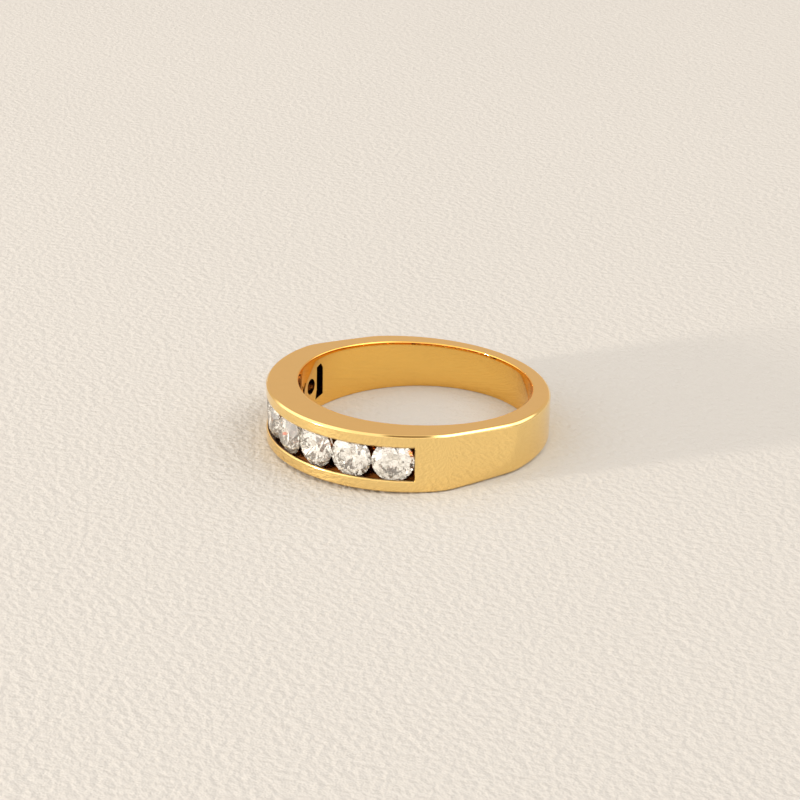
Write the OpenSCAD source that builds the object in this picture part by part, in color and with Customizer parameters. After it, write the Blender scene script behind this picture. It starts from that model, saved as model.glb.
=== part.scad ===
/* [Finger hole] */
// Diameter of the finger hole's wall
bore_d = 17; // [14:0.1:22]
// How far the rounded edge of the finger hole reaches into each side face
bore_round = 0.12; // [0.08:0.01:0.4]

/* [Band] */
// Even width of the band across the head
head_w = 4.3; // [3.9:0.05:6]
// Width of the band at the bottom of the shank
shank_w = 3.2; // [2:0.05:3.8]
// How far in front of the finger hole's centre the band starts to narrow towards the shank
taper_start = 4; // [2:0.1:6]
// Thickness of metal at the middle of the head
head_wall = 2.45; // [2.3:0.01:3.4]
// Thickness of metal at the sides of the finger
side_wall = 1.54; // [1.2:0.01:2.2]
// Thickness of metal at the bottom of the shank
shank_wall = 1.26; // [1:0.01:2]
// How far the head's arc is centred in front of the finger hole
head_shift = 0.54; // [0.2:0.01:0.8]
// How far the shank's arc is centred in front of the finger hole
shank_shift = 0.6; // [0.2:0.01:0.8]
// Radius of the almost straight flanks between the head and the shank
flank_r = 60; // [30:1:120]
// How far in front of the finger hole's centre the flanks are widest
flank_shift = 0.8; // [0:0.05:1.5]
// Bevel along the outer edges of the side faces
edge_bevel = 0.13; // [0.05:0.01:0.3]

/* [Stones] */
// Diameter of each round brilliant
stone_d = 3; // [2.4:0.05:3.2]
// Clear distance between one girdle and the next
stone_gap = 0.03; // [0.02:0.01:0.08]
// Thickness of the girdle, as a share of the stone's diameter
girdle_share = 0.035; // [0.03:0.005:0.05]
// Width of the table, as a share of the stone's diameter
table_share = 0.57; // [0.53:0.01:0.62]
// Slope of the crown's main facets, in degrees
crown_angle = 34.5; // [32:0.5:36]
// Slope of the pavilion's main facets, in degrees
pavilion_angle = 40.75; // [40:0.25:42]
// Length of the star facets, as a share of the crown's width
star_share = 0.5; // [0.45:0.01:0.6]
// Length of the lower girdle facets, as a share of the pavilion's radius
lower_share = 0.77; // [0.7:0.01:0.85]
// Turn of each stone about its own axis after the one before, in degrees
stone_turn = 17; // [0:1:45]

/* [Channel] */
// How far each rail laps over the girdles
rail_lap = 0.27; // [0.15:0.01:0.35]
// How far the tables lie below the head's outer face
stone_recess = 0.1; // [0.02:0.01:0.2]
// Clearance between a stone and the metal that holds it
seat_gap = 0.03; // [0.02:0.005:0.06]
// Slope of the groove's upper side over the crown, in degrees
lip_angle = 45; // [42:1:55]
// How far the culets reach below the channel's floor
culet_dip = 0.25; // [0.1:0.01:0.4]
// Width of the narrow bevel along the channel's mouth
mouth_bevel = 0.07; // [0.03:0.01:0.1]

/* [Openings behind the stones] */
// Diameter of the round opening behind each stone
hole_d = 1.2; // [0.8:0.05:1.3]
// Width of each of the two crossed slits between neighbouring openings
slit_w = 0.2; // [0.15:0.01:0.25]
// Length of each crossed slit
slit_l = 1.5; // [1:0.05:1.6]
// Lean of each crossed slit away from the finger hole's axis, in degrees
slit_angle = 25; // [15:1:30]
// Width of the tall blind slot beyond each end of the channel
slot_w = 0.78; // [0.6:0.02:1]
// Height of the straight part of that slot
slot_h = 2.2; // [1.4:0.05:2.4]
// Height of each pointed end of that slot
slot_tip = 0.25; // [0.1:0.05:0.4]
// Metal between the channel's end wall and that slot
slot_wall = 0.1; // [0.06:0.01:0.3]

/* [Hidden] */
NODES = ["band", "stone_1", "stone_2", "stone_3", "stone_4", "stone_5", "stone_6", "stone_7"];
$fn = 160;

gold = "#d9a441";
diamond = "#e9f1f7";

// Solids that only cut reach this far past what they cut
over = 1;
bore_r = bore_d / 2;
head_reach = bore_r + head_wall;
head_r = head_reach - head_shift;
side_reach = bore_r + side_wall;
shank_reach = bore_r + shank_wall;
shank_r = shank_reach + shank_shift;

// Behind the start of the taper both side faces lean by the same angle
lean = (head_w - shank_w) / 2 / (taper_start + shank_reach);
lean_angle = atan(lean);
mid_w = shank_w + 2 * lean * shank_reach;
cut_h = head_w + 2 * over;

// How far the band reaches in front and behind, once it lies on the leaning side faces
front_y = head_reach * cos(lean_angle) + (head_w / 2 - edge_bevel) * sin(lean_angle);
back_y = shank_reach * cos(lean_angle) + (shank_w / 2 - edge_bevel) * sin(lean_angle);
centre_y = (front_y - back_y) / 2;

// Heights and radii of a stone, measured from the middle of its girdle
stone_r = stone_d / 2;
girdle_h = stone_d * girdle_share;
girdle_top = girdle_h / 2;
table_r = stone_r * table_share;
table_h = girdle_top + (stone_r - table_r) * tan(crown_angle);
culet_h = girdle_top + stone_r * tan(pavilion_angle);
mains = 8;
main_step = 360 / mains;
half_step = main_step / 2;
half_turn = half_step / 2;
rim_count = 4 * mains;
// The tip where two kites and two stars meet
star_edge_r = table_r * cos(half_step);
star_r = star_edge_r + star_share * (stone_r - star_edge_r);
star_h = girdle_top + (stone_r - star_r * cos(half_step)) * tan(crown_angle);
star_angle = atan((table_h - star_h) / (star_r - star_edge_r));
// The halves meet the girdle at points half a step apart, and their planes hold the chord between
chord_r = stone_r * cos(half_turn);
upper_angle = atan((star_h - girdle_top) / (chord_r - star_r * cos(half_turn)));
lower_r = stone_r * (1 - lower_share);
lower_h = girdle_top + (stone_r - lower_r * cos(half_step)) * tan(pavilion_angle);
lower_angle = atan((lower_h - girdle_top) / (chord_r - lower_r * cos(half_turn)));

// The row lies on a circle about the centre of the head's arc
stone_count = len(NODES) - 1;
row_r = head_r - stone_recess - table_h;
pitch = 2 * atan((stone_d + stone_gap) / 2 / (row_r - girdle_top));
end_turn = pitch * (stone_count - 1) / 2;
channel_half = stone_r - rail_lap;
seat_half = stone_r + seat_gap;
seat_low_r = row_r - girdle_top - seat_gap;
seat_high_r = row_r + girdle_top + seat_gap;
groove_low_r = seat_low_r - (seat_half - channel_half) * tan(pavilion_angle);
groove_high_r = seat_high_r + (seat_half - channel_half) * tan(lip_angle);
floor_r = row_r - culet_h + culet_dip;
slot_start = seat_half + slot_wall;
slot_end = slot_start + slot_w;

// Lays the ring on the flat of its narrowing side, with the head to the front
module laid() {
    translate([0, centre_y, mid_w / 2 * cos(lean_angle)])
        rotate([-lean_angle, 0, 0])
            children();
}

// Puts what is modelled above the middle plane below it as well
module both_sides() {
    children();
    mirror([0, 0, 1])
        children();
}

// Puts what follows a side face at height zero on the head's even upper face
module on_head_face(x, y) {
    translate([x, y, head_w / 2])
        children();
}

// The same on the leaning upper face of the shank
module on_shank_face(x, y) {
    translate([x, y, mid_w / 2 - lean * y])
        rotate([-lean_angle, 0, 0])
            children();
}

// Everything under a side face and inside the bevel round it
module under_face(r) {
    translate([0, 0, -cut_h])
        cylinder(h = cut_h, r1 = r - edge_bevel + cut_h, r2 = r - edge_bevel);
}

module upright_arc(r, x, y) {
    translate([x, y, -cut_h / 2])
        cylinder(h = cut_h, r = r);
}

module head_arc() {
    intersection() {
        upright_arc(head_r, 0, -head_shift);
        on_head_face(0, -head_shift)
            under_face(head_r);
        mirror([0, 0, 1])
            on_head_face(0, -head_shift)
                under_face(head_r);
    }
}

module shank_arc(r, x, y) {
    intersection() {
        upright_arc(r, x, y);
        on_shank_face(x, y)
            under_face(r);
        mirror([0, 0, 1])
            on_shank_face(x, y)
                under_face(r);
    }
}

module blank() {
    intersection() {
        head_arc();
        shank_arc(shank_r, 0, -shank_shift);
        shank_arc(flank_r, side_reach - flank_r, -flank_shift);
        shank_arc(flank_r, flank_r - side_reach, -flank_shift);
    }
}

// All that lies in front of the line where the taper starts
module in_front() {
    translate([-head_reach - over, -taper_start - 2 * head_reach, -cut_h])
        cube([2 * (head_reach + over), 2 * head_reach, 2 * cut_h]);
}

// Rounded edge of the finger hole, under a side face at height zero
module bore_edge() {
    round_r = bore_round * 1.1;
    rotate_extrude()
        difference() {
            translate([bore_r - over, -round_r])
                square([over + bore_round, round_r + over]);
            translate([bore_r + bore_round, -round_r])
                circle(r = round_r);
        }
}

module bore_edges() {
    intersection() {
        on_head_face(0, 0)
            bore_edge();
        in_front();
    }
    difference() {
        on_shank_face(0, 0)
            bore_edge();
        in_front();
    }
}

// Wedge of the head between the two end walls of the channel
module between_ends() {
    wall_x = stone_r + seat_gap;
    near = row_r / 2;
    far = head_r + over;
    right_near = turned([wall_x, -near], end_turn);
    right_far = turned([wall_x, -far], end_turn);
    linear_extrude(height = cut_h, center = true)
        polygon([
            right_near, right_far, [far, -far * 2], [-far, -far * 2],
            [-right_far[0], right_far[1]], [-right_near[0], right_near[1]]
        ]);
}

function turned(p, a) = [p[0] * cos(a) - p[1] * sin(a), p[0] * sin(a) + p[1] * cos(a)];

// Section of the channel with its seat grooves and the bevel of its mouth
module channel_section() {
    polygon([
        [floor_r, -channel_half], [groove_low_r, -channel_half],
        [seat_low_r, -seat_half], [seat_high_r, -seat_half],
        [groove_high_r, -channel_half], [head_r - mouth_bevel, -channel_half],
        [head_r + over, -channel_half - mouth_bevel - over],
        [head_r + over, channel_half + mouth_bevel + over],
        [head_r - mouth_bevel, channel_half], [groove_high_r, channel_half],
        [seat_high_r, seat_half], [seat_low_r, seat_half],
        [groove_low_r, channel_half], [floor_r, channel_half]
    ]);
}

module channel() {
    intersection() {
        rotate_extrude()
            channel_section();
        between_ends();
    }
}

// Cuts outwards from the finger hole as far as reach, in the direction of one stone
module behind(turn, reach) {
    rotate([0, 0, turn])
        rotate([90, 0, 0])
            translate([0, 0, bore_r / 2])
                linear_extrude(height = reach - bore_r / 2)
                    children();
}

module crossed_slits() {
    for (side = [-1, 1])
        rotate(side * slit_angle)
            square([slit_w, slit_l], center = true);
}

module end_slot() {
    polygon([
        [slot_start, -slot_h / 2], [slot_start + slot_w / 3, -slot_h / 2 - slot_tip],
        [slot_end, -slot_h / 2], [slot_end, slot_h / 2],
        [slot_end - slot_w / 3, slot_h / 2 + slot_tip], [slot_start, slot_h / 2]
    ]);
}

// The round and crossed openings break through the channel's floor, and the tall slots are blind
module openings() {
    through = floor_r + culet_dip;
    for (i = [0 : stone_count - 1])
        behind(end_turn - i * pitch, through)
            circle(d = hole_d);
    for (i = [0 : stone_count - 2])
        behind(end_turn - (i + 0.5) * pitch, through)
            crossed_slits();
    behind(end_turn, floor_r)
        end_slot();
    behind(-end_turn, floor_r)
        mirror([1, 0])
            end_slot();
}

// The shank, the head and both rails are one piece of cast gold
module band() {
    color(gold)
        laid()
            difference() {
                blank();
                cylinder(h = cut_h + 2 * over, r = bore_r, center = true);
                both_sides()
                    bore_edges();
                translate([0, -head_shift, 0]) {
                    channel();
                    openings();
                }
            }
}

// Points spread evenly round the stone at one radius and height
function round_row(count, r, z, turn) =
    [for (i = [0 : count - 1]) [r * cos(i * 360 / count + turn), r * sin(i * 360 / count + turn), z]];

// The girdle's rim dips between the points where the halves meet it
function rim(side, slope) = [
    for (i = [0 : rim_count - 1])
        let (a = i * half_turn, dip = i % 2 * (stone_r - chord_r) * tan(slope))
            [stone_r * cos(a), stone_r * sin(a), side * (girdle_top - dip)]
];

// One round brilliant with the middle of its girdle at the origin
module brilliant() {
    tip = mains;
    top = 2 * mains;
    bottom = top + rim_count;
    low = bottom + rim_count;
    culet = low + mains;
    polyhedron(
        points = concat(
            round_row(mains, table_r, table_h, 0), round_row(mains, star_r, star_h, half_step),
            rim(1, upper_angle), rim(-1, lower_angle),
            round_row(mains, lower_r, -lower_h, half_step), [[0, 0, -culet_h]]
        ),
        faces = concat(
            [[for (i = [mains - 1 : -1 : 0]) i]],
            // Stars
            [for (i = [0 : mains - 1]) [i, (i + 1) % mains, tip + i]],
            // Kites
            [for (i = [0 : mains - 1]) [i, tip + i, top + 4 * i, tip + (i + mains - 1) % mains]],
            // Upper girdle facets
            [for (i = [0 : 2 * mains - 1])
                [tip + floor(i / 2), top + (2 * i + 2) % rim_count, top + 2 * i + 1, top + 2 * i]],
            // Girdle
            [for (i = [0 : rim_count - 1])
                [top + i, top + (i + 1) % rim_count, bottom + (i + 1) % rim_count, bottom + i]],
            // Lower girdle facets
            [for (i = [0 : 2 * mains - 1])
                [bottom + 2 * i, bottom + 2 * i + 1, bottom + (2 * i + 2) % rim_count, low + floor(i / 2)]],
            // Pavilion mains
            [for (i = [0 : mains - 1])
                [culet, low + (i + mains - 1) % mains, bottom + 4 * i, low + i]]
        )
    );
}

module stone(number) {
    color(diamond)
        laid()
            translate([0, -head_shift, 0])
                rotate([0, 0, end_turn - (number - 1) * pitch])
                    translate([0, -row_r, 0])
                        rotate([90, 0, 0])
                            rotate([0, 0, number * stone_turn])
                                brilliant();
}

band();
stone(1);  // stone_1
stone(2);  // stone_2
stone(3);  // stone_3
stone(4);  // stone_4
stone(5);  // stone_5
stone(6);  // stone_6
stone(7);  // stone_7
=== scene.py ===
"""Channel set band: a polished gold ring lying on its side, with seven round brilliants in a channel."""
import math

import bpy
import numpy as np
from bpy.props import FloatProperty, FloatVectorProperty, PointerProperty
from mathutils import Matrix, Vector
from mathutils.geometry import delaunay_2d_cdt


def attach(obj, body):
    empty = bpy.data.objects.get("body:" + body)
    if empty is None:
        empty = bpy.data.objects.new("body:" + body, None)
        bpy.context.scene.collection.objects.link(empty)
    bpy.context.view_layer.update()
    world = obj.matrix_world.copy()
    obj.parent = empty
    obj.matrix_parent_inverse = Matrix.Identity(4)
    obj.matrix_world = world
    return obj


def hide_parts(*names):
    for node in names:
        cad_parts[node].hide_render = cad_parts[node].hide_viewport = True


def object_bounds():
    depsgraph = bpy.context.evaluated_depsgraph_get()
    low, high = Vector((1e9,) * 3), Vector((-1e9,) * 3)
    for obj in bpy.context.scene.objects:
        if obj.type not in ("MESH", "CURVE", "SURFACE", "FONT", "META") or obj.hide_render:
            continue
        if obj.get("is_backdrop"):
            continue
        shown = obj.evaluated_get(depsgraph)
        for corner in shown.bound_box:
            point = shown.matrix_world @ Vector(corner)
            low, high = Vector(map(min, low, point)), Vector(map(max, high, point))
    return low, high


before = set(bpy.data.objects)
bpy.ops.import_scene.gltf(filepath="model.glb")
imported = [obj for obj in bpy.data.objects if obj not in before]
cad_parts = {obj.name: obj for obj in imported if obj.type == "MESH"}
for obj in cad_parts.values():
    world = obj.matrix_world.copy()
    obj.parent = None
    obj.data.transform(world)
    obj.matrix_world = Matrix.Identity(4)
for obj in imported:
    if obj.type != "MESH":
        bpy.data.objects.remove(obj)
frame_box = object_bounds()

bl_info = {
    "name": "Channel set band",
    "version": (1, 0, 0),
    "blender": (4, 5, 0),
    "location": "3D View > Sidebar > Ring",
    "description": "A polished gold ring with seven round brilliants set in a channel",
    "category": "Object",
}

MM = 0.001
STONES = ["stone_%d" % number for number in range(1, 8)]


def linear(code):
    """An sRGB hex colour as the linear colour that shaders and lights work in."""
    parts = [int(code[i:i + 2], 16) / 255 for i in (1, 3, 5)]
    return tuple(c / 12.92 if c <= 0.04045 else ((c + 0.055) / 1.055) ** 2.4 for c in parts)


def size(name, value, about):
    """A length whose default is given in millimetres."""
    return FloatProperty(name=name, description=about, default=value * MM, unit="LENGTH")


def colour(name, code, about):
    """A colour whose default is given as an sRGB hex colour."""
    return FloatVectorProperty(name=name, description=about, default=linear(code), subtype="COLOR",
                               min=0, max=1)


class BandSizes(bpy.types.PropertyGroup):
    """The ring's own sizes, the same as in the solids that it stands for."""
    bore_d: size("Finger hole", 17.0, "Diameter of the finger hole")
    bore_round: size("Rounded rim", 0.12, "Reach of the finger hole's rounded rim")
    lip_h: size("Lip height", 0.08, "Height of the rim's rounded lip")
    flare_h: size("Flare height", 0.28, "Height below the lip over which the hole opens a little")
    head_w: size("Head width", 4.3, "Width of the band across the head")
    shank_w: size("Shank width", 3.2, "Width of the band at the bottom of the shank")
    taper_start: size("Taper start", 4.0, "How far in front of the middle the band starts to narrow")
    taper_ease: size("Taper ease", 0.8, "Length over which the faces turn into the taper")
    head_wall: size("Head wall", 2.45, "Metal at the middle of the head")
    side_wall: size("Side wall", 1.54, "Metal at the sides of the finger")
    shank_wall: size("Shank wall", 1.26, "Metal at the bottom of the shank")
    head_shift: size("Head shift", 0.54, "How far in front the head's arc is centred")
    shank_shift: size("Shank shift", 0.6, "How far in front the shank's arc is centred")
    flank_r: size("Flank radius", 60.0, "Radius of the almost straight flanks")
    flank_shift: size("Flank shift", 0.8, "How far in front the flanks are widest")
    edge_bevel: size("Edge bevel", 0.13, "Bevel along the outer edges")
    bevel_ease: size("Bevel ease", 0.07, "Radius where polishing softened the bevel's own edges")
    shank_bevel: size("Shank bevel", 0.2, "Bevel along the outer edges of the shank")
    shank_ease: size("Shank ease", 0.3, "Radius that polishing gave the shank's edges")
    shoulder_ease: size("Shoulder ease", 0.045, "How deep polishing cut into the shoulder corners")


class ChannelSizes(bpy.types.PropertyGroup):
    """Sizes of the channel, its seats and the openings behind the stones."""
    stone_d: size("Stone", 3.0, "Diameter of each round brilliant")
    stone_gap: size("Stone gap", 0.03, "Clear distance between girdles")
    girdle: size("Girdle", 0.105, "Thickness of the girdle")
    table_h: size("Table height", 0.4958, "Height of the table over the middle of the girdle")
    culet_h: size("Culet depth", 1.345, "Depth of the culet under the middle of the girdle")
    rail_lap: size("Rail lap", 0.27, "How far each rail laps over the girdles")
    recess: size("Recess", 0.1, "How far the tables lie below the outer face")
    seat_gap: size("Seat gap", 0.03, "Clearance round the girdles")
    seat_fall: size("Seat fall", 0.2585, "Height of the groove's lower slope")
    seat_rise: size("Seat rise", 0.3, "Height of the groove's upper slope")
    culet_dip: size("Culet dip", 0.25, "How far the culets reach below the floor")
    mouth_bevel: size("Mouth bevel", 0.12, "Narrow bevel round the channel's mouth")
    hole_d: size("Round opening", 1.2, "Diameter of the opening behind each stone")
    slit_w: size("Slit width", 0.2, "Width of each crossed slit")
    slit_l: size("Slit length", 1.5, "Length of each crossed slit")
    slot_start: size("Slot start", 1.63, "Where the tall slot starts, past the end stone's middle")
    spread: size("Spread", 0.75, "How far the outer openings fan out towards the finger hole")


class RingLook(bpy.types.PropertyGroup):
    """Colours of the metal, the stones and the stage."""
    gold: colour("Gold", "#ffdb90", "18 carat yellow gold where it is polished")
    # Bore gold's deeper orange is painted reflection: it stands in for the gold-on-gold reflections inside
    # the finger hole
    gold_bore_painted_reflection: colour("Bore gold", "#ffcd6d", "The same gold in the finger hole, polished with a felt cone")
    # Deep gold's dark brown is painted shade for the inside of the channel, where little light gets in
    gold_deep_painted_shade: colour("Deep gold", "#643612", "The same gold inside the channel, where the wheel can't reach")
    diamond: colour("Diamond", "#fdf9f0", "Near colourless diamond")
    floor: colour("Floor", "#bbb9b6", "Cream finished leather")


def add_node(tree, kind, sockets=None, **settings):
    """Adds a node, sets what settings name, and fills or links its input sockets."""
    made = tree.nodes.new(kind)
    for name, value in settings.items():
        setattr(made, name, value)
    for name, value in (sockets or {}).items():
        if isinstance(value, bpy.types.NodeSocket):
            tree.links.new(value, made.inputs[name])
        else:
            made.inputs[name].default_value = value
    return made


def new_material(name):
    """A named material with an empty tree and its output node."""
    made = bpy.data.materials.new(name)
    made.use_nodes = True
    made.node_tree.nodes.clear()
    return made, made.node_tree, made.node_tree.nodes.new("ShaderNodeOutputMaterial")


def noise(tree, place, width, detail):
    """The factor of a noise whose lumps are about that many millimetres apart."""
    return add_node(tree, "ShaderNodeTexNoise", {"Vector": place, "Scale": 1 / (width * MM),
                                                 "Detail": detail}).outputs["Fac"]


def mottled(tree, factor, shade, shares):
    """The shade, going over into its own colour times the shares where the factor is high."""
    other = tuple(c * share for c, share in zip(shade, shares))
    return add_node(tree, "ShaderNodeMix", {"Factor": factor, "A": (*shade, 1), "B": (*other, 1)},
                    data_type="RGBA").outputs["Result"]


# Roughness that a wear of 1 adds to the polish
WEAR_ROUGHNESS = 0.3


def polished_gold(name, shade):
    """18 carat yellow gold, cast, then polished on a felt wheel or cone with rouge.

    It mirrors the table and the lights with only a slight haze. The wheel leaves a very shallow
    waviness and hairlines, and wearing leaves the edges a little hazier than the faces.
    """
    made, tree, out = new_material(name)
    place = add_node(tree, "ShaderNodeTexCoord").outputs["Object"]
    # The wheel's waviness, about 2.5 mm from crest to crest
    wave = noise(tree, place, 2.5, 1.0)
    # Hairlines are a few micrometres wide; 0.08 mm is the finest that shows here
    hair = noise(tree, place, 0.08, 2.0)
    # Patches of handling haze, about 1.1 mm apart
    haze = noise(tree, place, 1.1, 4.0)
    wear = add_node(tree, "ShaderNodeAttribute", attribute_name="wear").outputs["Fac"]
    rough = add_node(tree, "ShaderNodeMapRange", {"Value": haze, "From Min": 0.35, "From Max": 0.7,
                                                  "To Min": 0.015, "To Max": 0.035})
    worn = add_node(tree, "ShaderNodeMath", {0: wear, 1: WEAR_ROUGHNESS, 2: rough.outputs["Result"]},
                    operation="MULTIPLY_ADD")
    # The hairlines are far shallower than the waviness
    heights = add_node(tree, "ShaderNodeMath", {0: hair, 1: 0.008, 2: wave}, operation="MULTIPLY_ADD")
    bump = add_node(tree, "ShaderNodeBump", {"Height": heights.outputs["Value"],
                                             "Distance": 0.012 * MM, "Strength": 1.0})
    metal = add_node(tree, "ShaderNodeBsdfPrincipled",
                     {"Base Color": mottled(tree, haze, shade, (0.965, 0.965, 0.965)),
                      "Metallic": 1.0, "Roughness": worn.outputs["Value"],
                      "Normal": bump.outputs["Normal"]})
    tree.links.new(metal.outputs["BSDF"], out.inputs["Surface"])
    return made


def burred_gold_painted_shade(look):
    """The same gold inside the channel, cut with a bur and only brushed bright.

    It is satin with fine cutter marks; its dark brown colour is painted shade for the deep channel, where
    little light gets in.
    """
    made, tree, out = new_material("burred_18ct_gold_painted_shade")
    place = add_node(tree, "ShaderNodeTexCoord").outputs["Object"]
    # Marks of the bur's teeth, 0.12 mm apart
    marks = noise(tree, place, 0.12, 3.0)
    rough = add_node(tree, "ShaderNodeMapRange", {"Value": marks, "From Min": 0.3, "From Max": 0.7,
                                                  "To Min": 0.16, "To Max": 0.3})
    bump = add_node(tree, "ShaderNodeBump", {"Height": marks, "Distance": 0.006 * MM,
                                             "Strength": 1.0})
    # Dark base colour: painted shade, mottled by the bur's marks
    metal = add_node(tree, "ShaderNodeBsdfPrincipled",
                     {"Base Color": mottled(tree, marks, look.gold_deep_painted_shade, (0.85, 0.85, 0.85)),
                      "Metallic": 1.0, "Roughness": rough.outputs["Result"],
                      "Normal": bump.outputs["Normal"]})
    tree.links.new(metal.outputs["BSDF"], out.inputs["Surface"])
    return made


def cut_diamond(look):
    """Diamond, round brilliant cut and polished flat on a lap.

    Its high index sends most light back out of the crown in many small flashes. A thin film of
    skin oil and dust from wearing veils its darkest facets a little.
    """
    made, tree, out = new_material("polished_diamond")
    place = add_node(tree, "ShaderNodeTexCoord").outputs["Object"]
    # Growth zoning of a near colourless stone, about 0.6 mm wide and hardly there
    zones = noise(tree, place, 0.6, 2.0)
    stone = add_node(tree, "ShaderNodeBsdfPrincipled",
                     {"Base Color": mottled(tree, zones, look.diamond, (1, 0.99, 0.97)),
                      "Metallic": 0.0, "Roughness": 0.0, "IOR": 2.417, "Transmission Weight": 0.93})
    tree.links.new(stone.outputs["BSDF"], out.inputs["Surface"])
    return made


def finished_leather(look):
    """Cream kid leather, embossed and finished matt, which the ring lies on.

    It gives a pale, even ground with a fine soft grain.
    """
    made, tree, out = new_material("cream_finished_leather")
    place = add_node(tree, "ShaderNodeTexCoord").outputs["Object"]
    # Pebbled grain, half a millimetre across
    grain = noise(tree, place, 0.55, 2.0)
    # The finish varies slowly, over about 40 mm
    drift = noise(tree, place, 40, 2.0)
    bump = add_node(tree, "ShaderNodeBump", {"Height": grain, "Distance": 0.13 * MM, "Strength": 1.0})
    hide = add_node(tree, "ShaderNodeBsdfPrincipled",
                    {"Base Color": mottled(tree, drift, look.floor, (0.97, 0.97, 0.97)),
                     "Roughness": 0.75, "Specular IOR Level": 0.3, "Normal": bump.outputs["Normal"]})
    tree.links.new(hide.outputs["BSDF"], out.inputs["Surface"])
    return made


# How steep the rim's lip gets before the flare takes over, and the points along each
LIP_STEEP = math.radians(78)
LIP_STEPS, FLARE_STEPS = 14, 7


class Plan:
    """The ring's shape in its own frame, in millimetres: finger hole along Z, head towards -Y.

    A turn is measured about the centre of the head's arc, from the middle of the head.
    """

    def __init__(self, band, channel):
        for group in (band, channel):
            for name in group.bl_rna.properties.keys():
                if name not in ("rna_type", "name"):
                    setattr(self, name, getattr(group, name) / MM)
        self.bore_r = self.bore_d / 2
        head_reach = self.bore_r + self.head_wall
        self.head_r = head_reach - self.head_shift
        self.side_reach = self.bore_r + self.side_wall
        shank_reach = self.bore_r + self.shank_wall
        self.shank_r = shank_reach + self.shank_shift
        self.lean = (self.head_w - self.shank_w) / 2 / (self.taper_start + shank_reach)
        self.tilt = math.atan(self.lean)
        mid_w = self.shank_w + 2 * self.lean * shank_reach
        front = head_reach * math.cos(self.tilt) + (self.head_w / 2 - self.edge_bevel) * math.sin(self.tilt)
        back = shank_reach * math.cos(self.tilt) + (self.shank_w / 2 - self.edge_bevel) * math.sin(self.tilt)
        self.rise = np.array([0, (front - back) / 2, mid_w / 2 * math.cos(self.tilt)])
        self.stone_r = self.stone_d / 2
        self.row_r = self.head_r - self.recess - self.table_h
        self.pitch = 2 * math.atan((self.stone_d + self.stone_gap) / 2 / (self.row_r - self.girdle / 2))
        self.end_turn = 3 * self.pitch
        self.half = self.stone_r - self.rail_lap
        self.seat_half = self.stone_r + self.seat_gap
        self.seat_low = self.row_r - self.girdle / 2 - self.seat_gap
        self.seat_high = self.row_r + self.girdle / 2 + self.seat_gap
        self.groove_low = self.seat_low - self.seat_fall
        self.groove_high = self.seat_high + self.seat_rise
        self.floor_r = self.row_r - self.culet_h + self.culet_dip

    def along(self, turn):
        """The direction of a turn, and the direction that it moves in as it grows."""
        turn = np.asarray(turn, float)
        return (np.stack([np.sin(turn), -np.cos(turn)], -1),
                np.stack([np.cos(turn), np.sin(turn)], -1))

    def to_circle(self, turn, x, y, r):
        """How far a circle centred on x, y lies from the head arc's centre, in the direction of turn."""
        ahead = self.along(turn)[0]
        reach = ahead @ np.array([x, y + self.head_shift])
        return reach + np.sqrt(r * r - x * x - (y + self.head_shift) ** 2 + reach * reach)

    def outline(self, turn):
        """How far the outer face lies, with polished down corners where two arcs meet."""
        far = [np.full(np.shape(turn), self.head_r),
               self.to_circle(turn, 0, -self.shank_shift, self.shank_r),
               self.to_circle(turn, self.side_reach - self.flank_r, -self.flank_shift, self.flank_r),
               self.to_circle(turn, self.flank_r - self.side_reach, -self.flank_shift, self.flank_r)]
        far = np.stack(far)
        least = far.min(0)
        return least - self.shoulder_ease * np.log(np.exp((least - far) / self.shoulder_ease).sum(0))

    def outward(self, turn):
        """The outer face's normal."""
        step = 1e-4
        ahead, across = self.along(turn)
        slope = (self.outline(turn + step) - self.outline(turn - step)) / (2 * step)
        normal = self.outline(turn)[..., None] * ahead - slope[..., None] * across
        return lifted(normal / np.linalg.norm(normal, axis=-1, keepdims=True), 0.0)

    def inward(self, points):
        """The finger hole's normal at points on its wall."""
        flat = -points[..., :2] / np.linalg.norm(points[..., :2], axis=-1, keepdims=True)
        return lifted(flat, 0.0)

    def face_h(self, y):
        """Height of the upper side face, which eases into its taper."""
        return self.head_w / 2 - self.lean * self.taper_ease * np.logaddexp(
            0, (y + self.taper_start) / self.taper_ease)

    def face_normal(self, y):
        """The upper side face's normal."""
        fall = self.lean / (1 + np.exp(-(y + self.taper_start) / self.taper_ease))
        normal = np.stack([np.zeros_like(y), fall, np.ones_like(y)], -1)
        return normal / np.linalg.norm(normal, axis=-1, keepdims=True)

    def rim(self):
        """The finger hole's rim from the face to the wall: (reach, depth, turn of the normal)."""
        flare = self.flare_h * math.tan((math.pi / 2 - LIP_STEEP) / 2)
        wide = self.bore_round - flare
        last = math.atan(math.tan(LIP_STEEP) * wide / self.lip_h)
        wide /= math.sin(last)
        found = []
        for t in np.linspace(0, last, LIP_STEPS):
            found.append((self.bore_round - wide * math.sin(t), self.lip_h * (1 - math.cos(t)),
                          math.atan2(self.lip_h * math.sin(t), wide * math.cos(t))))
        deep = found[-1][1]
        for share in np.linspace(0, 1, FLARE_STEPS)[1:]:
            found.append((flare * (1 - share) ** 2, deep + self.flare_h * share,
                          LIP_STEEP + (math.pi / 2 - LIP_STEEP) * share))
        return found

    def at(self, turn, r, z):
        """The point at that turn, distance and height."""
        ahead = self.along(turn)[0]
        flat = ahead * np.asarray(r, float)[..., None] - np.array([0, self.head_shift])
        return lifted(flat, z)

    def laid(self, vectors, moved=True):
        """From the ring's own frame to where it lies on its tapering side."""
        c, s = math.cos(self.tilt), math.sin(self.tilt)
        turned = vectors @ np.array([[1, 0, 0], [0, c, s], [0, -s, c]]).T
        return turned + self.rise if moved else turned


def lifted(flat, z):
    """Flat vectors with a height added."""
    return np.concatenate([flat, np.broadcast_to(np.asarray(z, float), flat.shape[:-1])[..., None]], -1)


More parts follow.
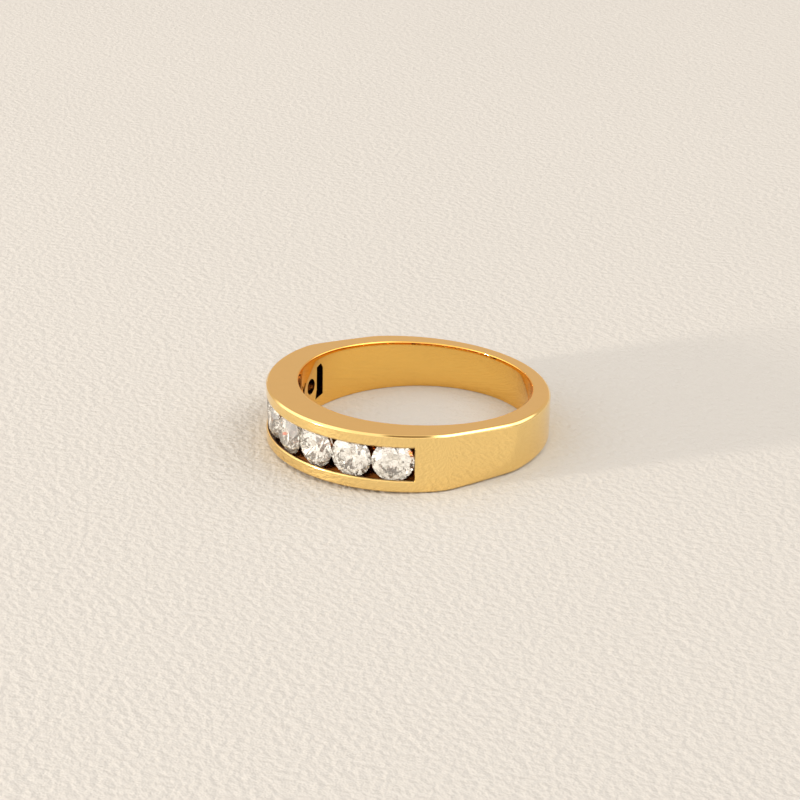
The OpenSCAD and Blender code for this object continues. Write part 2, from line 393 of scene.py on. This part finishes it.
class Shell:
    """Gathers faces with the normal that each has at its corners, and welds them into one mesh."""

    def __init__(self):
        self.points, self.worn, self.batches, self.count = [], [], [], 0

    def add(self, points, normals, faces, slot=0, wear=None):
        """Faces over a patch's points, each turned to the side that its normals point to."""
        points, normals, faces = points.reshape(-1, 3), normals.reshape(-1, 3), np.array(faces)
        arms = points[faces] - points[faces[:, :1]]
        facing = np.cross(arms, np.roll(arms, -1, axis=1)).sum(1)
        away = (facing * normals[faces].sum(1)).sum(1) < 0
        faces[away] = faces[away, ::-1]
        self.batches.append((faces + self.count, normals[faces], slot))
        self.points.append(points)
        self.worn.append(np.zeros(len(points)) if wear is None else wear.reshape(-1))
        self.count += len(points)

    def grid(self, points, normals, closed=False, slot=0, wear=None):
        """Quads over a grid of points, joined end to start if closed."""
        rows, columns = points.shape[:2]
        index = np.arange(rows * columns).reshape(rows, columns)
        if closed:
            index = np.concatenate([index, index[:1]])
        faces = np.stack([index[:-1, :-1], index[1:, :-1], index[1:, 1:], index[:-1, 1:]], -1)
        self.add(points, normals, faces.reshape(-1, 4), slot, wear)

    def mesh(self, name, plan):
        """The welded mesh, laid down and in metres."""
        points = np.concatenate(self.points)
        _, first, index = np.unique(np.floor(points / 1e-4 + 0.37).astype(np.int64), axis=0,
                                    return_index=True, return_inverse=True)
        index = index.reshape(-1)
        faces, normals, slots = [], [], []
        for corners, own, slot in self.batches:
            for face, around in zip(index[corners].tolist(), own):
                keep = [k for k in range(len(face)) if face[k] != face[k - 1]]
                if len(keep) > 2:
                    faces.append([face[k] for k in keep])
                    normals.append(around[keep])
                    slots.append(slot)
        made = bpy.data.meshes.new(name)
        made.from_pydata((plan.laid(points[first]) * MM).tolist(), [], faces)
        made.polygons.foreach_set("material_index", slots)
        made.polygons.foreach_set("use_smooth", [True] * len(faces))
        wear = made.attributes.new("wear", "FLOAT", "POINT")
        wear.data.foreach_set("value", np.concatenate(self.worn)[first])
        made.update()
        made.normals_split_custom_set(plan.laid(np.concatenate(normals), moved=False).tolist())
        return made


def inside(points, ring):
    """Which flat points lie inside a closed ring of corners."""
    x, y = points[:, 0], points[:, 1]
    held = np.zeros(len(points), bool)
    for (x1, y1), (x2, y2) in zip(ring, np.roll(ring, -1, axis=0)):
        if y1 != y2:
            crossed = (y1 > y) != (y2 > y)
            held ^= crossed & (x < x1 + (y - y1) * (x2 - x1) / (y2 - y1))
    return held


def clearance(points, ring):
    """How far flat points lie from a closed ring of corners."""
    nearest = np.full(len(points), np.inf)
    for one, two in zip(ring, np.roll(ring, -1, axis=0)):
        side = two - one
        share = np.clip(((points - one) @ side) / (side @ side), 0, 1)
        nearest = np.minimum(nearest, np.linalg.norm(points - one - share[:, None] * side, axis=1))
    return nearest


# How far a patch's inner points stay off the openings' edges, in millimetres
KEEP_OFF = 0.035
# Twice the area of the largest sliver that a patch leaves out, in square millimetres
SLIVER = 1e-6


def pierced(edge, lattice, rings):
    """Triangles over what lies inside edge and outside every ring: (flat points, triangles)."""
    for ring in rings:
        lattice = lattice[~inside(lattice, ring)]
        lattice = lattice[clearance(lattice, ring) > KEEP_OFF]
    loops, start, sides = [edge] + list(rings), 0, []
    for loop in loops:
        count = len(loop)
        sides += [(start + i, start + (i + 1) % count) for i in range(count)]
        start += count
    points = np.concatenate(loops + [lattice])
    result = delaunay_2d_cdt([Vector(p) for p in points.tolist()], sides, [], 0, 1e-7, True)
    origin = [ids[0] for ids in result[3]]
    triangles = np.array([[origin[i] for i in face] for face in result[2]])
    one, two, three = np.moveaxis(points[triangles], 1, 0)
    (ax, ay), (bx, by) = (two - one).T, (three - one).T
    middle = (one + two + three) / 3
    # Flat slivers between points of the edge itself are no part of the skin
    good = inside(middle, edge) & (np.abs(ax * by - ay * bx) > SLIVER)
    for ring in rings:
        good &= ~inside(middle, ring)
    return points, triangles[good]


def cut_sides(ring, longest):
    """The same ring with its long sides cut into shorter ones."""
    out = []
    for one, two in zip(ring, np.roll(ring, -1, axis=0)):
        count = max(1, math.ceil(np.linalg.norm(two - one) / longest))
        out += [one + (two - one) * k / count for k in range(count)]
    return np.array(out)


# The tall slot's outline in millimetres: past its start, and up across the band
SLOT_OUTLINE = [(0, 1.24), (0.54, 1.42), (0.78, 1.03), (0.78, -1.08), (-0.2, -1.3), (0, -0.52)]
# How far the blind slots end before the channel's floor
SLOT_SHORT = 0.05
# How far the crossed slits lean from straight across the band
SLIT_LEAN = math.radians(25)
# Corners of a round opening, and the longest side of the slits and slots, in millimetres
ROUND_CORNERS = 36
SLIT_SIDE, SLOT_SIDE = 0.12, 0.15


def openings(plan):
    """Every opening behind the stones: (turn, ring at the finger hole, ring at its far end, kind)."""
    found = []
    around = np.linspace(0, 2 * math.pi, ROUND_CORNERS, endpoint=False)
    circle = np.array([(math.cos(a), math.sin(a)) for a in around]) * plan.hole_d / 2

    def fanned(ring, turn):
        return ring + [plan.spread * turn / plan.end_turn, 0]

    for k in range(7):
        turn = plan.end_turn - k * plan.pitch
        found.append((turn, fanned(circle, turn), circle, "round"))
    w, l = plan.slit_w / 2, plan.slit_l / 2
    s, c = math.sin(SLIT_LEAN), math.cos(SLIT_LEAN)
    arm, side = np.array([s, c]), np.array([c, -s])
    corners = [[0, w / s], arm * l - side * w, arm * l + side * w, [w / c, 0]]
    turned = [np.array([x, -y]) for x, y in corners[2:0:-1]] + [np.array([0, -w / s])]
    right = [np.array(corner, float) for corner in corners] + turned
    left = [np.array([-x, y]) for x, y in right[-2:0:-1]]
    cross = cut_sides(np.array(right + left), SLIT_SIDE)
    for k in range(6):
        turn = plan.end_turn - (k + 0.5) * plan.pitch
        found.append((turn, fanned(cross, turn), cross, "crossed"))
    slot = cut_sides(np.array(SLOT_OUTLINE) + [plan.slot_start, 0], SLOT_SIDE)
    found.append((plan.end_turn, slot, slot, "blind"))
    found.append((-plan.end_turn, slot * [-1, 1], slot * [-1, 1], "blind"))
    return found


def opening_turns(plan, turn, ring, centre_y, r):
    """Turns and heights where a ring drawn across the direction of turn meets an upright cylinder."""
    ahead, across = plan.along(turn)
    offset = ring[:, :1] * across + np.array([0, -plan.head_shift - centre_y])
    reach = offset @ ahead
    far = -reach + np.sqrt(r * r - (offset ** 2).sum(1) + reach ** 2)
    flat = ring[:, :1] * across + far[:, None] * ahead
    return np.stack([np.arctan2(flat[:, 0], -flat[:, 1]), ring[:, 1]], -1)


# Slots of the band's materials: polished outside, burred inside with painted shade, polished finger hole with
# a painted reflection tint
WHEEL, BUR_PAINTED_SHADE, CONE_PAINTED_REFLECTION = 0, 1, 2
# Where the outer edges start and stop getting softer, as turns from the middle of the head
SOFT_FROM, SOFT_TO = math.radians(72), math.radians(105)
# How much lower the outer face's middle part ends behind those turns, where the band is narrow
LOWER_BACK = 0.25
# Turn from one row of points to the next, and how far the pierced wall reaches past the channel
STEP, PATCH_REACH = math.radians(0.5), math.radians(12)
# How far the finger hole's pierced wall starts below the rim, in millimetres
BELOW_RIM = 0.1
# Points across each easing of a bevel, and up the outer face, the channel's floor and the bore
EASE_ROWS, OUTER_ROWS, FLOOR_ROWS, BORE_ROWS = 5, 9, 17, 21
# How worn each stretch of polished gold is: the outer face beside its edge, the edge and its
# upper half, the side faces beside their edges, the rim, the bore, and the mouth of the channel
WEAR = {"outer": 0.1, "edge": 0.3, "upper": 0.03, "side": 0.03, "rim": 0.05, "bore": 0.015,
        "mouth": 1.6, "end": 2.3}
# The lower edges lie on the leather and wear less, so they mirror the crease below them
UNDER_WEAR = 0.1
# Turns a vector or point of the upper half into the lower half's
FLIP = np.array([1, 1, -1])


def unit(vectors):
    """The vectors at length 1."""
    return vectors / np.linalg.norm(vectors, axis=-1, keepdims=True)


class BandSkin:
    """The whole band as one closed skin: outside, rim, finger hole, channel and openings."""

    def __init__(self, plan):
        self.plan, self.shell = plan, Shell()
        self.mouth_r = plan.head_r - plan.mouth_bevel
        self.mouth_half = plan.half + plan.mouth_bevel
        self.mouth_turn = self.end_turn_at(plan.head_r, plan.mouth_bevel)
        self.floor_turn = self.end_turn_at(plan.floor_r, 0)
        self.count = 2 * math.ceil(self.mouth_turn / STEP)
        back_count = math.ceil((2 * math.pi - 2 * self.mouth_turn) / STEP)
        self.shares = np.linspace(-1, 1, self.count + 1)
        back = np.linspace(self.mouth_turn, 2 * math.pi - self.mouth_turn, back_count + 1)[1:-1]
        self.turns = np.concatenate([self.shares * self.mouth_turn, back])
        self.out_r, self.out_n = plan.outline(self.turns), plan.outward(self.turns)
        # The outer edge is crisp along the channel and softer round the shank
        from_head = np.abs((self.turns + math.pi) % (2 * math.pi) - math.pi)
        soft = np.clip((from_head - SOFT_FROM) / (SOFT_TO - SOFT_FROM), 0, 1)
        self.soft = soft * soft * (3 - 2 * soft)
        self.low_z = self.mouth_half * (1 - LOWER_BACK * self.soft)
        self.rim = plan.rim()
        self.wall_r = self.bore(0.0)
        self.wall_point = plan.at(self.turns, self.wall_r, 0.0)
        self.wall_z = plan.face_h(self.wall_point[:, 1]) - self.rim[-1][1] - BELOW_RIM
        self.patch = round(PATCH_REACH / STEP)
        self.mouth_rows = np.linspace(self.mouth_half, -self.mouth_half, OUTER_ROWS)
        self.floor_rows = np.linspace(plan.half, -plan.half, FLOOR_ROWS)
        self.bore_rows = np.linspace(1, -1, BORE_ROWS)

    def mesh(self):
        """All the skin's parts, welded."""
        self.halves()
        self.outer_middle()
        lines = self.channel_walls()
        self.pierced_skins()
        self.bore_rest()
        for side in (1, -1):
            self.channel_end(side, lines)
        return self.shell.mesh("gold_band", self.plan)

    def end_turn_at(self, r, past):
        """The turn where the channel ends at that distance, or where a bevel past its end does."""
        return float(self.plan.end_turn + np.arcsin((self.plan.seat_half + past) / r))

    def bore(self, reach):
        """How far a circle that much wider than the finger hole lies, at each turn."""
        return self.plan.to_circle(self.turns, 0, 0, self.plan.bore_r + reach)

    def section(self):
        """The upper half's section, from the channel's mouth over the face into the finger hole.

        Gives a list of (distance, height, normal, wear), each at every turn.
        """
        plan, turns, out_r, out_n = self.plan, self.turns, self.out_r, self.out_n
        bevel = plan.edge_bevel + (plan.shank_bevel - plan.edge_bevel) * self.soft
        ease = plan.bevel_ease + (plan.shank_ease - plan.bevel_ease) * self.soft
        tuck = ease * math.tan(math.pi / 8)
        edge = []
        for a in np.linspace(0, math.pi / 4, EASE_ROWS):
            edge.append((ease * (1 - math.cos(a)), bevel + tuck - ease * math.sin(a), a, WEAR["edge"]))
        for a in np.linspace(math.pi / 4, math.pi / 2, EASE_ROWS):
            edge.append((bevel + tuck - ease * math.cos(a), ease * (1 - math.sin(a)), a, WEAR["upper"]))
        start_z = plan.face_h(plan.at(turns, out_r - bevel, 0.0)[:, 1]) - bevel - tuck
        found = []
        for share in (0, 0.35, 0.7, 0.9):
            found.append((out_r, self.low_z + (start_z - self.low_z) * share, out_n,
                          WEAR["outer"] * (share > 0.8)))
        for back, down, a, worn in edge:
            r = out_r - back
            y = plan.at(turns, r, 0.0)[:, 1]
            n = math.cos(a) * out_n + math.sin(a) * plan.face_normal(y)
            found.append((r, plan.face_h(y) - down, n, worn))
        inner_edge, outer_edge = self.bore(plan.bore_round), out_r - bevel - tuck
        for share in (0.06, 0.3, 0.5, 0.7, 0.94):
            r = outer_edge + (inner_edge - outer_edge) * share
            y = plan.at(turns, r, 0.0)[:, 1]
            found.append((r, plan.face_h(y), plan.face_normal(y),
                          WEAR["side"] * (abs(share - 0.5) > 0.4)))
        for reach, down, a in self.rim:
            r = self.bore(reach)
            point = plan.at(turns, r, 0.0)
            n = math.cos(a) * plan.face_normal(point[:, 1]) + math.sin(a) * plan.inward(point)
            found.append((r, plan.face_h(point[:, 1]) - down, n, WEAR["rim"]))
        found.append((self.wall_r, self.wall_z, plan.inward(self.wall_point), WEAR["bore"]))
        return found

    def halves(self):
        """The section swept round the ring, for the upper and the lower half."""
        section = self.section()
        points = np.stack([self.plan.at(self.turns, r, z) for r, z, _, _ in section], 1)
        normals = unit(np.stack([n for _, _, n, _ in section], 1))
        wear = np.stack([np.full(len(self.turns), worn) for _, _, _, worn in section], 1)
        outer = len(section) - len(self.rim)
        for side, share in ((np.ones(3), 1.0), (FLIP, UNDER_WEAR)):
            for part, slot in ((slice(0, outer), WHEEL), (slice(outer - 1, None), CONE_PAINTED_REFLECTION)):
                self.shell.grid(points[:, part] * side, normals[:, part] * side, closed=True,
                                slot=slot, wear=wear[:, part] * share)

    def outer_middle(self):
        """The outer face between the two halves, behind the ends of the channel."""
        behind = np.r_[np.arange(self.count, len(self.turns)), 0]
        rows = [self.plan.at(self.turns[behind], self.out_r[behind],
                             self.low_z[behind] * z / self.mouth_half) for z in self.mouth_rows]
        self.shell.grid(np.stack(rows, 1), np.repeat(self.out_n[behind][:, None], len(rows), 1))

    def channel_walls(self):
        """The channel's walls with their seat grooves and bevelled mouths; gives their edges."""
        plan = self.plan
        # Distance, height and how far past the end wall, from the mouth down to the floor
        walls = [(plan.head_r, self.mouth_half, plan.mouth_bevel), (self.mouth_r, plan.half, 0),
                 (plan.groove_high, plan.half, 0), (plan.seat_high, plan.seat_half, 0),
                 (plan.seat_low, plan.seat_half, 0), (plan.groove_low, plan.half, 0),
                 (plan.floor_r, plan.half, 0)]
        lines = []
        for number, (r, z, past) in enumerate(walls):
            turn = self.shares * self.end_turn_at(r, past)
            reach = plan.outline(turn) if number == 0 else np.full(len(turn), r)
            lines.append(plan.at(turn, reach, z))
        for number in range(len(walls) - 1):
            (r1, z1, _), (r2, z2, _) = walls[number], walls[number + 1]
            ahead = plan.along(self.shares * self.end_turn_at((r1 + r2) / 2, 0))[0]
            # Across the wall's slope, towards the open channel
            n = unit(lifted(ahead * (z1 - z2), r2 - r1))
            strip, n = np.stack(lines[number:number + 2], 1), np.repeat(n[:, None], 2, 1)
            slot, worn = BUR_PAINTED_SHADE, 0.0
            if number == 0:
                # Polishing softened the mouth's bevel, so its normal turns from the face to the wall
                n = np.stack([lifted(ahead, 0.0), lifted(ahead * 0, -1.0)], 1)
                slot, worn = WHEEL, WEAR["mouth"]
            for side in (np.ones(3), FLIP):
                self.shell.grid(strip * side, n * side, slot=slot, wear=np.full(strip.shape[:2], worn))
        return lines

    def pierced_skins(self):
        """The channel's floor and the finger hole's wall behind it, joined by the openings."""
        plan = self.plan
        holes = openings(plan)
        on_wall = [opening_turns(plan, turn, at_hole, 0.0, plan.bore_r)
                   for turn, at_hole, _, _ in holes]
        on_floor = [opening_turns(plan, turn, at_end, -plan.head_shift, plan.floor_r)
                    for turn, _, at_end, kind in holes if kind != "blind"]

        turns, half = self.shares * self.floor_turn, np.full(self.count + 1, plan.half)
        grid_t, grid_z = np.meshgrid(turns[1:-1], self.floor_rows[1:-1])
        self.patch_skin(self.rectangle(turns, half, self.floor_rows, self.floor_rows),
                        np.stack([grid_t.ravel(), grid_z.ravel()], -1), on_floor, self.on_floor, BUR_PAINTED_SHADE)

        ids = np.r_[np.arange(len(self.turns) - self.patch, len(self.turns)),
                    np.arange(0, self.count + 1 + self.patch)]
        turns, tops = self.turns[ids].copy(), self.wall_z[ids]
        turns[:self.patch] -= 2 * math.pi
        grid_t = np.repeat(turns[1:-1], BORE_ROWS - 2)
        grid_z = np.outer(tops[1:-1], self.bore_rows[1:-1]).ravel()
        edge = self.rectangle(turns, tops, tops[0] * self.bore_rows, tops[-1] * self.bore_rows)
        self.patch_skin(edge, np.stack([grid_t, grid_z], -1), on_wall, self.on_wall, CONE_PAINTED_REFLECTION)
        for hole, ring in zip(holes, on_wall):
            self.opening_sides(hole, ring)

    def on_floor(self, turn, z):
        """Points on the channel's floor, with their normals."""
        plan = self.plan
        return (plan.at(turn, np.full(len(turn), plan.floor_r), z),
                lifted(plan.along(turn)[0], 0.0))

    def on_wall(self, turn, z):
        """Points on the finger hole's wall, with their normals."""
        points = self.plan.at(turn, self.plan.to_circle(turn, 0, 0, self.plan.bore_r), z)
        return points, self.plan.inward(points)

    def rectangle(self, turns, tops, left, right):
        """The edge of a patch as turns and heights, with the same points as its neighbours."""
        upper, lower = list(zip(turns, tops)), list(zip(turns, -tops))[::-1]
        down = [(turns[-1], z) for z in right[1:-1]]
        up = [(turns[0], z) for z in left[1:-1][::-1]]
        return np.array(upper + down + lower + up)

    def patch_skin(self, edge, lattice, rings, place, slot):
        """One pierced patch, worked out flat in turns and heights."""
        # Turns become lengths here, so that the triangles come out evenly shaped
        scale = np.array([self.plan.bore_r, 1.0])
        flat, triangles = pierced(edge * scale, lattice * scale, [ring * scale for ring in rings])
        flat = flat / scale
        points, normals = place(flat[:, 0], flat[:, 1])
        self.shell.add(points, normals, triangles, slot)

    def opening_sides(self, hole, ring):
        """The sides of an opening, and the cap of a blind one."""
        plan, (turn, at_hole, at_end, kind) = self.plan, hole
        one = self.on_wall(ring[:, 0], ring[:, 1])[0]
        ahead, across = plan.along(turn)
        if kind == "blind":
            two = ahead * (plan.floor_r - SLOT_SHORT) + at_end[:, :1] * across
            two -= [0, plan.head_shift]
            two = lifted(two, at_end[:, 1])
            back = np.repeat(lifted(-ahead, 0.0)[None], len(two), 0)
            self.shell.add(two, back, [tuple(range(len(two)))], BUR_PAINTED_SHADE)
        else:
            high = opening_turns(plan, turn, at_end, -plan.head_shift, plan.floor_r)
            two = self.on_floor(high[:, 0], high[:, 1])[0]
        middle = at_hole.mean(0)
        for i in range(len(one)):
            j = (i + 1) % len(one)
            if kind == "round":
                out = [at_hole[k] - middle for k in (i, j, j, i)]
            else:
                side = at_hole[j] - at_hole[i]
                out = [np.array([side[1], -side[0]])] * 4
                # A point just off the side's middle tells which way is out
                if not inside(np.array([(at_hole[i] + at_hole[j]) / 2 - out[0] * 0.01]), at_hole)[0]:
                    out = [-o for o in out]
            n = unit(np.array([[*(-o[0] * across), -o[1]] for o in out]))
            self.shell.add(np.array([one[i], one[j], two[j], two[i]]), n, [(0, 1, 2, 3)], BUR_PAINTED_SHADE)

    def bore_rest(self):
        """The finger hole's wall away from the openings."""
        rest = np.arange(self.count + self.patch, len(self.turns) - self.patch + 1)
        wall = np.stack([self.plan.at(self.turns[rest], self.wall_r[rest], self.wall_z[rest] * share)
                         for share in self.bore_rows], 1)
        self.shell.grid(wall, self.plan.inward(wall), slot=CONE_PAINTED_REFLECTION,
                        wear=np.full(wall.shape[:2], WEAR["bore"]))

    def channel_end(self, side, lines):
        """The end wall on one side, and the bevel of its mouth."""
        plan = self.plan
        ahead, across = plan.along(side * plan.end_turn)
        column = 0 if side < 0 else -1
        ends = [line[column] for line in lines[1:]]
        turn = side * self.end_turn_at(self.mouth_r, 0)
        lip = np.array([plan.at(turn, np.array(self.mouth_r), z)
                        for z in self.mouth_rows * plan.half / self.mouth_half])
        low = [plan.at(side * self.floor_turn, np.array(plan.floor_r), z)
               for z in self.floor_rows[1:-1]]
        ring = np.array(ends + low + [point * FLIP for point in ends[::-1]] + list(lip[1:-1][::-1]))
        back = np.array([*(-side * across), 0.0])
        self.shell.add(ring, np.repeat(back[None], len(ring), 0), [tuple(range(len(ring)))], BUR_PAINTED_SHADE)
        turn = side * self.mouth_turn
        brim = np.array([plan.at(turn, plan.outline(turn), z) for z in self.mouth_rows])
        # Softened by polishing, so its normal turns from the face to the end wall
        n = np.array([[*ahead, 0.0], back])
        self.shell.grid(np.stack([brim, lip], 1), np.tile(n, (len(brim), 1, 1)),
                        wear=np.full((len(brim), 2), WEAR["end"]))


class RING_OT_gold_band(bpy.types.Operator):
    """Makes the gold band with its channel, in place of its solid"""
    bl_idname = "ring.gold_band"
    bl_label = "Gold band"

    def execute(self, context):
        scene = context.scene
        plan = Plan(scene.band_sizes, scene.channel_sizes)
        mesh = BandSkin(plan).mesh()
        look = scene.ring_look
        mesh.materials.append(polished_gold("wheel_polished_18ct_gold", look.gold))
        # The channel's gold carries painted shade
        mesh.materials.append(burred_gold_painted_shade(look))
        # The finger hole's gold carries a painted reflection tint
        mesh.materials.append(polished_gold("cone_polished_18ct_gold_bore_painted_reflection", look.gold_bore_painted_reflection))
        band = bpy.data.objects.new("gold_band", mesh)
        scene.collection.objects.link(band)
        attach(band, "root")
        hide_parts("band")
        return {"FINISHED"}


class RING_OT_brilliants(bpy.types.Operator):
    """Gives the seven round brilliants their polish"""
    bl_idname = "ring.brilliants"
    bl_label = "Round brilliants"

    def execute(self, context):
        diamond = cut_diamond(context.scene.ring_look)
        for name in STONES:
            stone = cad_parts[name]
            for slot in stone.material_slots:
                slot.material = diamond
        return {"FINISHED"}


# The camera, from the fit to the photograph: an 800 pixel frame on a 36 mm wide sensor
FRAME_PX = 800
SENSOR = 36.0
FOCAL_PX = 2336.0
CAMERA_AZIMUTH, CAMERA_ELEVATION, CAMERA_ROLL = 59.906, 23.365, -1.109
CAMERA_AIM = (-5.604, 2.598, 0.0)
CAMERA_DISTANCE = 176.9

# How often light may turn in all, off metal and through stones: it turns many times in a brilliant
BOUNCES, GLOSSY_BOUNCES, STONE_BOUNCES = 24, 20, 22
# The floor reaches this far from the ring
FLOOR_REACH = 600 * MM

# The room round the ring, as brightness in linear colour
ROOM_WALLS = (0.66, 0.615, 0.575, 1)
ROOM_CEILING = (1.45, 1.37, 1.26, 1)
# Sine of the elevation where the walls start to turn into the ceiling, and where they end
CEILING_FROM, CEILING_TO = 0.62, 0.93
# Soft panels in the room: azimuth from +X, elevation, radius of the even core and of the fading
# edge in degrees, and brightness
PANELS = [
    (150.0, 20.0, 25.0, 60.0, (0.705, 0.556, 0.432, 1)),  # warm wall behind the ring
    (305.0, 18.0, 75.0, 110.0, (1.25, 1.18, 1.1, 1)),     # white screen on the camera's side
    (335.0, 66.0, 8.0, 17.0, (0.33, 0.25, 0.18, 1)),      # gap over that screen
    (256.0, 16.0, 14.0, 34.0, (2.5, 2.38, 2.2, 1)),       # screen round the key light
    (222.0, 40.0, 14.0, 34.0, (1.9, 1.82, 1.7, 1)),       # white card over the head's far side
    (82.0, 34.0, 8.0, 24.0, (2.6, 2.5, 2.35, 1)),         # second window
    (46.0, 53.0, 11.0, 23.0, (4.5, 4.35, 4.1, 1)),        # high window
]
# The key light: azimuth from +X, elevation, distance, width, watts and colour
KEY_AZIMUTH, KEY_ELEVATION = 256.0, 7.0
KEY_DISTANCE, KEY_WIDTH = 600 * MM, 60 * MM
KEY_WATTS, KEY_COLOUR = 4.7, "#fff2e0"


def toward(azimuth, elevation):
    """The direction at an azimuth from +X and an elevation, both in degrees."""
    a, e = math.radians(azimuth), math.radians(elevation)
    return (math.cos(a) * math.cos(e), math.sin(a) * math.cos(e), math.sin(e))


class RING_OT_stage(bpy.types.Operator):
    """Lays the floor, and sets the lights and the camera"""
    bl_idname = "ring.stage"
    bl_label = "Floor, light and camera"

    def execute(self, context):
        scene = context.scene
        self.lay_floor(scene)
        self.light(scene)
        self.aim_camera(scene)
        scene.view_settings.view_transform = "Standard"
        scene.cycles.max_bounces = BOUNCES
        scene.cycles.glossy_bounces = GLOSSY_BOUNCES
        scene.cycles.transmission_bounces = STONE_BOUNCES
        return {"FINISHED"}

    def lay_floor(self, scene):
        """A plain sheet of leather under the ring."""
        half = FLOOR_REACH
        mesh = bpy.data.meshes.new("floor")
        mesh.from_pydata([(-half, -half, 0), (half, -half, 0), (half, half, 0), (-half, half, 0)], [],
                         [(0, 1, 2, 3)])
        mesh.materials.append(finished_leather(scene.ring_look))
        floor = bpy.data.objects.new("floor", mesh)
        scene.collection.objects.link(floor)
        floor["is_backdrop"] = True

    def light(self, scene):
        """The room with its soft panels, and the low key light."""
        world = bpy.data.worlds.new("studio")
        scene.world = world
        world.use_nodes = True
        tree = world.node_tree
        tree.nodes.clear()
        out = tree.nodes.new("ShaderNodeOutputWorld")
        way = add_node(tree, "ShaderNodeTexCoord").outputs["Generated"]
        parts = add_node(tree, "ShaderNodeSeparateXYZ", {"Vector": way})
        height = add_node(tree, "ShaderNodeMapRange",
                          {"Value": parts.outputs["Z"], "From Min": CEILING_FROM,
                           "From Max": CEILING_TO, "To Min": 0.0, "To Max": 1.0},
                          interpolation_type="SMOOTHSTEP")
        tone = add_node(tree, "ShaderNodeMix", {"Factor": height.outputs["Result"], "A": ROOM_WALLS,
                                                "B": ROOM_CEILING}, data_type="RGBA").outputs["Result"]
        for azimuth, elevation, core, edge, shade in PANELS:
            near = add_node(tree, "ShaderNodeVectorMath", {0: way, 1: toward(azimuth, elevation)},
                            operation="DOT_PRODUCT")
            share = add_node(tree, "ShaderNodeMapRange",
                             {"Value": near.outputs["Value"], "From Min": math.cos(math.radians(edge)),
                              "From Max": math.cos(math.radians(core)), "To Min": 0.0, "To Max": 1.0},
                             interpolation_type="SMOOTHSTEP")
            tone = add_node(tree, "ShaderNodeMix", {"Factor": share.outputs["Result"], "A": tone,
                                                    "B": shade}, data_type="RGBA").outputs["Result"]
        ground = add_node(tree, "ShaderNodeBackground", {"Color": tone, "Strength": 1.0})
        tree.links.new(ground.outputs["Background"], out.inputs["Surface"])
        self.key_light(scene)

    def key_light(self, scene):
        """A round soft lamp, low over the floor and facing the ring."""
        light = bpy.data.lights.new("key_light", "AREA")
        light.shape = "DISK"
        light.size = KEY_WIDTH
        light.energy = KEY_WATTS
        light.color = linear(KEY_COLOUR)
        lamp = bpy.data.objects.new("key_light", light)
        way = Vector(toward(KEY_AZIMUTH, KEY_ELEVATION))
        lamp.location = way * KEY_DISTANCE
        lamp.rotation_euler = way.to_track_quat("Z", "Y").to_euler()
        scene.collection.objects.link(lamp)

    def aim_camera(self, scene):
        """The camera where the photograph was taken from."""
        a, e = math.radians(CAMERA_AZIMUTH), math.radians(CAMERA_ELEVATION)
        back = Vector((math.sin(a) * math.cos(e), -math.cos(a) * math.cos(e), math.sin(e)))
        level = Vector((math.cos(a), math.sin(a), 0))
        rise = back.cross(level)
        roll = math.radians(CAMERA_ROLL)
        right = level * math.cos(roll) + rise * math.sin(roll)
        up = back.cross(right)
        turn = Matrix((right, up, back)).transposed().to_4x4()
        lens = bpy.data.cameras.new("camera")
        lens.sensor_width = SENSOR
        lens.lens = FOCAL_PX / FRAME_PX * SENSOR
        lens.clip_start = 1 * MM
        camera = bpy.data.objects.new("camera", lens)
        aim = Vector(CAMERA_AIM) * MM
        camera.matrix_world = Matrix.Translation(aim + back * CAMERA_DISTANCE * MM) @ turn
        scene.collection.objects.link(camera)
        scene.camera = camera


class RING_PT_sidebar(bpy.types.Panel):
    """Lists the ring's pieces, sizes and colours."""
    bl_idname = "RING_PT_sidebar"
    bl_label = "Channel set band"
    bl_space_type = "VIEW_3D"
    bl_region_type = "UI"
    bl_category = "Ring"

    def draw(self, context):
        for operator in OPERATORS:
            self.layout.operator(operator.bl_idname)
        for name in GROUPS:
            group = getattr(context.scene, name)
            box = self.layout.box()
            for key in group.bl_rna.properties.keys():
                if key not in ("rna_type", "name"):
                    box.prop(group, key)


OPERATORS = [RING_OT_gold_band, RING_OT_brilliants, RING_OT_stage]
GROUPS = {"band_sizes": BandSizes, "channel_sizes": ChannelSizes, "ring_look": RingLook}


def register():
    for made in [*GROUPS.values(), *OPERATORS, RING_PT_sidebar]:
        bpy.utils.register_class(made)
    for name, group in GROUPS.items():
        setattr(bpy.types.Scene, name, PointerProperty(type=group))


def unregister():
    for name in GROUPS:
        delattr(bpy.types.Scene, name)
    for made in [RING_PT_sidebar, *reversed(OPERATORS), *reversed(list(GROUPS.values()))]:
        bpy.utils.unregister_class(made)


def main():
    register()
    bpy.ops.ring.gold_band()
    bpy.ops.ring.brilliants()
    bpy.ops.ring.stage()
    boxes = {"cad": frame_box, "visual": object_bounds()}
    boxes = {name: [[round(float(v), 6) for v in corner] for corner in box]
             for name, box in boxes.items()}


if __name__ == "__main__":
    main()
